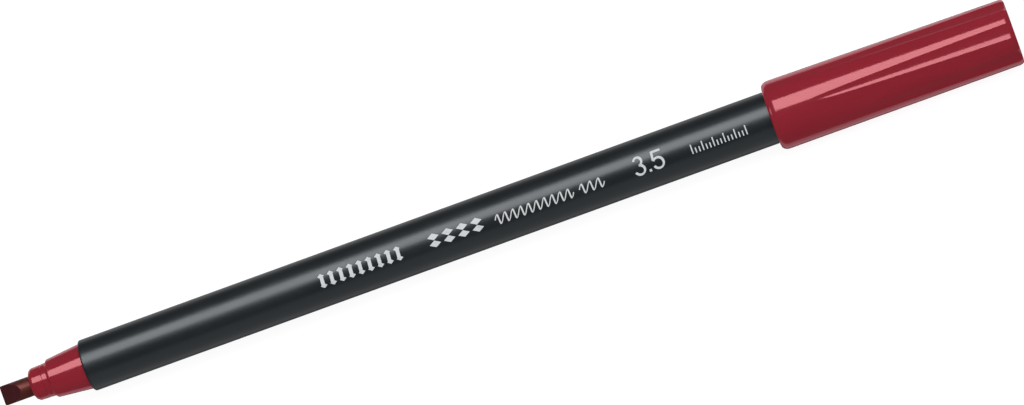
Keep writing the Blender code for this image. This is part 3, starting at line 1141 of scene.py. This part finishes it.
@dataclass
class BarrelPrint:
    """Generic pen strokes, a nib width and a scale, printed along the reading side."""

    axis: PenAxis
    ink_height: float = 0.012 * MM
    ink_depth: float = 0.010 * MM
    columns: int = 7

    def patch(self, grid: Array) -> tuple[Array, Array]:
        """Wrap one flat patch of print round the barrel as a thin closed solid.

        A point (s, a) goes to station s and angle a over the barrel's radius R. The top layer has
        the radius R + height and the bottom layer R - depth, and quads join their edges.

        Args:
            grid: Flat points, shape (rows, columns, 2).

        Returns:
            The points and the quads.
        """
        radius = self.axis.radius_of("barrel")
        rows, columns = grid.shape[:2]
        angle = grid[..., 1] / radius
        top = self.axis.place(grid[..., 0], radius + self.ink_height, angle).reshape(-1, 3)
        bottom = self.axis.place(grid[..., 0], radius - self.ink_depth, angle).reshape(-1, 3)
        numbers = np.arange(rows * columns).reshape(rows, columns)
        under = numbers + rows * columns
        faces = [
            self.quads(numbers[:-1, :-1], numbers[1:, :-1], numbers[1:, 1:], numbers[:-1, 1:]),
            self.quads(under[:-1, :-1], under[:-1, 1:], under[1:, 1:], under[1:, :-1]),
            self.quads(numbers[:-1, 0], under[:-1, 0], under[1:, 0], numbers[1:, 0]),
            self.quads(numbers[1:, -1], under[1:, -1], under[:-1, -1], numbers[:-1, -1]),
            self.quads(numbers[0, 1:], under[0, 1:], under[0, :-1], numbers[0, :-1]),
            self.quads(numbers[-1, :-1], under[-1, :-1], under[-1, 1:], numbers[-1, 1:]),
        ]
        return np.vstack((top, bottom)), np.vstack(faces)

    @staticmethod
    def quads(*corners: Array) -> Array:
        """Four arrays of vertex numbers as rows of quads."""
        return np.stack(corners, axis=-1).reshape(-1, 4)

    def line(self, path: Array, pen: ChiselPen) -> Array:
        """Draw a line with a chisel pen.

        The two edges lie on each side of the path, along its normal, by half the pen's width in
        the path's direction.

        Args:
            path: Flat points, shape (n, 2).
            pen: The pen.

        Returns:
            A grid of flat points.
        """
        step = np.gradient(path, axis=0)
        direction = np.arctan2(step[:, 1], step[:, 0])
        half = pen.width(direction) / 2
        normal = np.stack((-np.sin(direction), np.cos(direction)), axis=-1)
        side = np.linspace(-1.0, 1.0, self.columns)
        return path[:, None, :] + normal[:, None, :] * half[:, None, None] * side[None, :, None]

    def block(self, low: tuple[float, float], size: tuple[float, float], lean: float) -> Array:
        """A leaning bar: corners low, then size along and across, moved along by lean at the top.

        Args:
            low: Its lower left corner.
            size: Its width and its height.
            lean: How far its top is moved along.

        Returns:
            A grid of flat points.
        """
        u, v = np.meshgrid(np.linspace(0, 1, self.columns), np.linspace(0, 1, 12), indexing="ij")
        slant = v * lean
        return np.stack((low[0] + u * size[0] + slant, low[1] + v * size[1]), axis=-1)

    def lozenge(self, center: tuple[float, float], width: float, height: float) -> Array:
        """A diamond: the sum of two half diagonals times (u, v), both from -1 to 1.

        Args:
            center: Its middle.
            width: Its size along the pen.
            height: Its size across.

        Returns:
            A grid of flat points.
        """
        u, v = np.meshgrid(np.linspace(-1, 1, 9), np.linspace(-1, 1, 9), indexing="ij")
        along = (u + v) * width / 4
        across = (v - u) * height / 4
        return np.stack((center[0] + along, center[1] + across), axis=-1)

    @staticmethod
    def arc(
        center: tuple[float, float], radii: tuple[float, float], start: float, end: float
    ) -> Array:
        """Points on an ellipse between two angles in degrees."""
        angle = np.radians(np.linspace(start, end, 40))
        return np.stack(
            (center[0] + radii[0] * np.cos(angle), center[1] + radii[1] * np.sin(angle)), axis=-1
        )

    @staticmethod
    def straight(first: tuple[float, float], last: tuple[float, float]) -> Array:
        """Points on a straight line."""
        share = np.linspace(0.0, 1.0, 14)[:, None]
        return np.array(first) * (1 - share) + np.array(last) * share

    def add(self, name: str, grids: Sequence[Array], finishes: Finishes) -> bpy.types.Object:
        """Join patches into one printed piece.

        Args:
            name: The piece's name.
            grids: Its patches.
            finishes: The materials.

        Returns:
            The piece.
        """
        points, quads, count = [], [], 0
        for grid in grids:
            places, faces = self.patch(grid)
            points.append(places)
            quads.append(faces + count)
            count += len(places)
        none = np.empty((0, 3), int)
        mesh = mesh_from_arrays(name, np.vstack(points), np.vstack(quads), none)
        mesh.set_sharp_from_angle(angle=math.radians(40.0))
        return add_piece(mesh, finishes.ink, Body.PEN)

    def minims(self) -> list[Array]:
        """A row of bold practice strokes, each with a diamond at its head or its foot."""
        start, end = 57.5 * MM, 72.6 * MM
        base, top = -1.32 * MM, 1.16 * MM
        count = 9
        pitch = (end - start) / count
        width = 0.62 * MM
        grids = []
        for index in range(count):
            left = start + index * pitch
            size = (width, top - base - 0.9 * MM)
            grids.append(self.block((left, base + 0.45 * MM), size, 0.12 * MM))
            foot = (left + width * 0.65, base + 0.42 * MM)
            head = (left + width * 0.5 + 0.02 * MM, top - 0.42 * MM)
            grids.append(self.lozenge(foot, 1.15 * MM, 0.84 * MM))
            grids.append(self.lozenge(head, 1.15 * MM, 0.84 * MM))
        return grids

    def lozenges(self) -> list[Array]:
        """Four pairs of bold diamonds, one above the other."""
        start, end = 76.4 * MM, 86.5 * MM
        count = 4
        pitch = (end - start) / count
        grids = []
        for index in range(count):
            middle = start + (index + 0.5) * pitch
            for across in (0.56 * MM, -0.68 * MM):
                grids.append(self.lozenge((middle, across), 2.0 * MM, 1.18 * MM))
        return grids

    def waves(self) -> list[Array]:
        """Two stretches of fine wave, a warming-up exercise for the pen.

        The path is s along and the half height times sin(2 pi n s / length) across, leaning
        forward by a quarter of its height.

        Returns:
            The patches.
        """
        pen = ChiselPen(thick=0.30 * MM, thin=0.10 * MM)
        grids = []
        for start, end, cycles in ((88.3 * MM, 102.1 * MM, 10), (103.1 * MM, 107.5 * MM, 3)):
            share = np.linspace(0.0, 1.0, cycles * 40)
            across = 0.78 * MM * np.sin(2 * math.pi * cycles * share)
            along = start + (end - start) * share + across * 0.25
            path = np.stack((along, across - 0.42 * MM), axis=-1)
            grids.append(self.line(path, pen))
        return grids

    def numerals(self) -> list[Array]:
        """The nib width, 3.5, built from arcs and straight lines."""
        pen = ChiselPen(thick=0.42 * MM, thin=0.30 * MM)
        start, base, height, width = 112.75 * MM, -1.60 * MM, 3.1 * MM, 1.95 * MM
        three = start + width / 2
        upper_center = (three - 0.05 * MM, base + 0.75 * height)
        upper = self.arc(upper_center, (0.66 * MM, 0.22 * height), 165, -90)
        lower_center = (three - 0.05 * MM, base + 0.275 * height)
        lower = self.arc(lower_center, (0.80 * MM, 0.255 * height), 90, -165)
        five = start + 3.3 * MM
        corner = (five + 0.28 * MM, base + height * 0.97)
        shoulder = (five + 0.12 * MM, base + height * 0.50)
        bar = self.straight((five + 1.75 * MM, base + height * 0.97), corner)
        stem = self.straight((corner[0], corner[1] + 0.16 * MM), shoulder)
        bowl_center = (five + 0.88 * MM, base + 0.315 * height)
        bowl = self.arc(bowl_center, (0.86 * MM, 0.295 * height), 146, -160)
        dot = self.block((start + 2.35 * MM, base - 0.02 * MM), (0.42 * MM, 0.42 * MM), 0.0)
        return [dot] + [self.line(path, pen) for path in (upper, lower, bar, stem, bowl)]

    def scale(self) -> list[Array]:
        """A scale of fine strokes, every third one long."""
        start, end, base = 122.7 * MM, 132.8 * MM, -1.24 * MM
        count = 16
        pitch = (end - start) / count
        grids = []
        for index in range(count):
            tall = 1.6 * MM if index % 3 == 0 else 0.9 * MM
            grids.append(self.block((start + index * pitch, base), (0.2 * MM, tall), 0.0))
        return grids

    def build(self, finishes: Finishes) -> list[bpy.types.Object]:
        """Build every printed group."""
        groups = {
            "print_minims": self.minims(),
            "print_lozenges": self.lozenges(),
            "print_waves": self.waves(),
            "print_numerals": self.numerals(),
            "print_scale": self.scale(),
        }
        return [self.add(name, grids, finishes) for name, grids in groups.items()]


# --------------------------------------------------------------------------------------
# Floor, light and camera
# --------------------------------------------------------------------------------------


@dataclass(frozen=True)
class SoftBox:
    """A long flat light beside the pen, set by the angles that its edges are seen at."""

    name: str
    first_angle: float
    last_angle: float
    distance: float
    reach: tuple[float, float]
    radiance: float
    diffuse: bool
    glossy: bool
    only: tuple[str, ...] = ()
    tint: tuple[float, float, float] = (1.0, 1.0, 1.0)

    def build(self, axis: PenAxis) -> bpy.types.Object:
        """Hang the light.

        Angles are measured from facing towards across, in degrees. The light is square to its
        middle angle, and its width is 2 distance tan(half the angle between its edges). Along the
        pen it runs between the two X coordinates of its reach. A flat light of radiance L and
        area A needs the power pi L A.

        Args:
            axis: The pen's axis, which the light looks at.

        Returns:
            The light.
        """
        middle = math.radians((self.first_angle + self.last_angle) / 2)
        half = math.radians(abs(self.last_angle - self.first_angle) / 2)
        width = 2 * self.distance * math.tan(half)
        light = bpy.data.lights.new(self.name, "AREA")
        light.shape = "RECTANGLE"
        length = self.reach[1] - self.reach[0]
        light.size = length
        light.size_y = width
        light.energy = math.pi * self.radiance * length * width
        light.color = self.tint
        direction = Vector(axis.facing * math.cos(middle) + axis.across * math.sin(middle))
        lamp = bpy.data.objects.new(self.name, light)
        bpy.context.scene.collection.objects.link(lamp)
        along = Vector((1.0, 0.0, 0.0))
        turn = Matrix((along, direction.cross(along), direction)).transposed()
        middle = Vector(((self.reach[0] + self.reach[1]) / 2, 0.0, axis.height))
        place = Matrix.Translation(middle + direction * self.distance)
        lamp.matrix_world = place @ turn.to_4x4()
        lamp.visible_camera = False
        lamp.visible_diffuse = self.diffuse
        lamp.visible_glossy = self.glossy
        if self.only:
            lit = bpy.data.collections.new(self.name + "_lit")
            for piece in self.only:
                lit.objects.link(bpy.data.objects[piece])
            lamp.light_linking.receiver_collection = lit
        return lamp


@dataclass
class Studio:
    """A pale floor, soft lights and a long lens."""

    axis: PenAxis
    floor_size: float = 60.0
    floor_color: tuple[float, float, float] = (0.16, 0.16, 0.16)
    floor_glow: float = 0.92
    sky_light: float = 0.61
    sky_shown: float = 1.0
    gloss_above: float = 0.12
    gloss_below: float = 0.13
    horizon: tuple[float, float] = (-0.35, 0.25)
    sky_color: tuple[float, float, float] = (0.98, 0.99, 1.0)
    clip: tuple[float, float] = (0.01, 100.0)
    azimuth: float = math.radians(5.776)
    elevation: float = math.radians(30.0)
    roll: float = math.radians(19.95)
    distance: float = 0.9
    sensor: float = 36.0
    view_width: float = 169.70 * MM
    aim_along: float = 1.53 * MM
    aim_up: float = 1.51 * MM

    def build(self) -> None:
        """Set up the floor, the sky, the lights and the camera."""
        bpy.context.scene.view_settings.view_transform = "Standard"
        self.floor()
        self.sky()
        wide, near, pink = (-0.8, 0.8), (-0.09, 0.165), (1.0, 0.67, 0.73)
        cap, front, barrel = "cap_moulding", ("section_moulding", "nib_fibre"), "barrel_tube"
        reds = (cap, front[0])
        boxes = (
            SoftBox("key_gloss", 14.4, 51.0, 0.7, wide, 5.9, False, True, (barrel, *front)),
            SoftBox("cap_gloss", 14.4, 49.6, 0.7, near, 6.0, False, True, (cap,)),
            SoftBox("lip_gloss", 14.4, 50.4, 0.7, (-2.4, -1.0), 3.0, False, True, (cap,)),
            SoftBox("back_gloss", 172.0, 186.0, 0.9, wide, 2.0, False, True),
            SoftBox("key_soft", 0.0, 50.0, 0.9, wide, 1.4, True, False),
            SoftBox("rim_gloss", 122.0, 158.0, 0.9, wide, 0.5, False, True, (barrel, front[1])),
            SoftBox("rim_upper", 127.0, 160.0, 0.9, wide, 0.95, False, True, reds, pink),
            SoftBox("rim_lower", -116.0, -150.0, 0.9, wide, 0.62, True, True, reds, pink),
            SoftBox("barrel_fill", -42.0, -138.0, 0.9, wide, 0.42, False, True, (barrel,)),
        )
        for box in boxes:
            box.build(self.axis)
        self.camera()

    def floor(self) -> None:
        """Lay the floor. It only shows: the sky stands in for its light and its reflection."""
        half = self.floor_size / 2
        mesh = bpy.data.meshes.new("floor")
        corners = [(-half, -half, 0.0), (half, -half, 0.0), (half, half, 0.0), (-half, half, 0.0)]
        mesh.from_pydata(corners, [], [(0, 1, 2, 3)])
        nodes = NodeTree("pale_floor")
        nodes.set(Base_Color=(*self.floor_color, 1.0), Roughness=0.9)
        nodes.shader.inputs["Specular IOR Level"].default_value = 0.1
        nodes.shader.inputs["Emission Color"].default_value = (1.0, 1.0, 1.0, 1.0)
        nodes.shader.inputs["Emission Strength"].default_value = self.floor_glow
        mesh.materials.append(nodes.material)
        floor = bpy.data.objects.new("floor", mesh)
        bpy.context.scene.collection.objects.link(floor)
        floor.visible_glossy = False
        floor.visible_diffuse = False
        floor.visible_shadow = False

    def sky(self) -> None:
        """Surround the pen with an even sky.

        What the camera sees is near white and what lights matt surfaces is a steady grey.
        Reflections see a dim sky, a little lighter below than above, blended over the height z
        of the direction between the two values of horizon.
        """
        world = bpy.data.worlds.new("studio")
        bpy.context.scene.world = world
        world.use_nodes = True
        tree = world.node_tree
        background = tree.nodes["Background"]
        background.inputs["Color"].default_value = (*self.sky_color, 1.0)
        direction = tree.nodes.new("ShaderNodeTexCoord")
        split = tree.nodes.new("ShaderNodeSeparateXYZ")
        tree.links.new(direction.outputs["Generated"], split.inputs["Vector"])
        gloss = tree.nodes.new("ShaderNodeMapRange")
        gloss.interpolation_type = "SMOOTHSTEP"
        set_range(gloss, *self.horizon, self.gloss_below, self.gloss_above)
        tree.links.new(split.outputs["Z"], gloss.inputs["Value"])
        path = tree.nodes.new("ShaderNodeLightPath")
        choose_gloss = tree.nodes.new("ShaderNodeMapRange")
        choose_gloss.inputs["To Min"].default_value = self.sky_light
        tree.links.new(path.outputs["Is Glossy Ray"], choose_gloss.inputs["Value"])
        tree.links.new(gloss.outputs["Result"], choose_gloss.inputs["To Max"])
        choose_shown = tree.nodes.new("ShaderNodeMapRange")
        choose_shown.inputs["To Max"].default_value = self.sky_shown
        tree.links.new(path.outputs["Is Camera Ray"], choose_shown.inputs["Value"])
        tree.links.new(choose_gloss.outputs["Result"], choose_shown.inputs["To Min"])
        tree.links.new(choose_shown.outputs["Result"], background.inputs["Strength"])

    def camera(self) -> None:
        """Place the camera.

        Its back vector is (sin a cos e, -cos a cos e, sin e) for azimuth a and elevation e. The
        right and up vectors are then turned by the roll, so that the pen rises to the right. The
        lens makes the view the given width at the given distance.
        """
        a, e = self.azimuth, self.elevation
        back = Vector((math.sin(a) * math.cos(e), -math.cos(a) * math.cos(e), math.sin(e)))
        level = Vector((0.0, 0.0, 1.0)).cross(back).normalized()
        rise = back.cross(level)
        along = Vector((1.0, 0.0, 0.0))
        slope = math.atan2(along.dot(rise), along.dot(level))
        turn = self.roll - slope
        right = level * math.cos(turn) - rise * math.sin(turn)
        up = level * math.sin(turn) + rise * math.cos(turn)
        data = bpy.data.cameras.new("camera")
        data.sensor_width = self.sensor
        data.lens = self.sensor * self.distance / self.view_width
        data.clip_start, data.clip_end = self.clip
        camera = bpy.data.objects.new("camera", data)
        bpy.context.scene.collection.objects.link(camera)
        target = Vector((self.aim_along, 0.0, self.axis.height)) + up * self.aim_up
        place = target + back * self.distance
        frame = Matrix((right, up, back)).transposed().to_4x4()
        camera.matrix_world = Matrix.Translation(place) @ frame
        bpy.context.scene.camera = camera


def main() -> None:
    """Load the frame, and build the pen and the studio."""
    logging.basicConfig(level=logging.INFO, format="%(name)s: %(message)s")
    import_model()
    axis = PenAxis.from_frame()
    turning = Turning(axis)
    finishes = Finishes.make()
    BarrelTube(turning).build(finishes)
    NibSection(Turning(axis, 256)).build(finishes)
    FibreNib(Turning(axis, 160)).build(finishes)
    InkSupply(Turning(axis, 96)).build(finishes)
    RearPlug(turning).build(finishes)
    cap = FlutedCap(Turning(axis, 448))
    cap.build(finishes)
    CapLiner(Turning(axis, 128), cap.settled()).build(finishes)
    BarrelPrint(axis).build(finishes)
    Studio(axis).build()


if __name__ == "__main__":
    main()
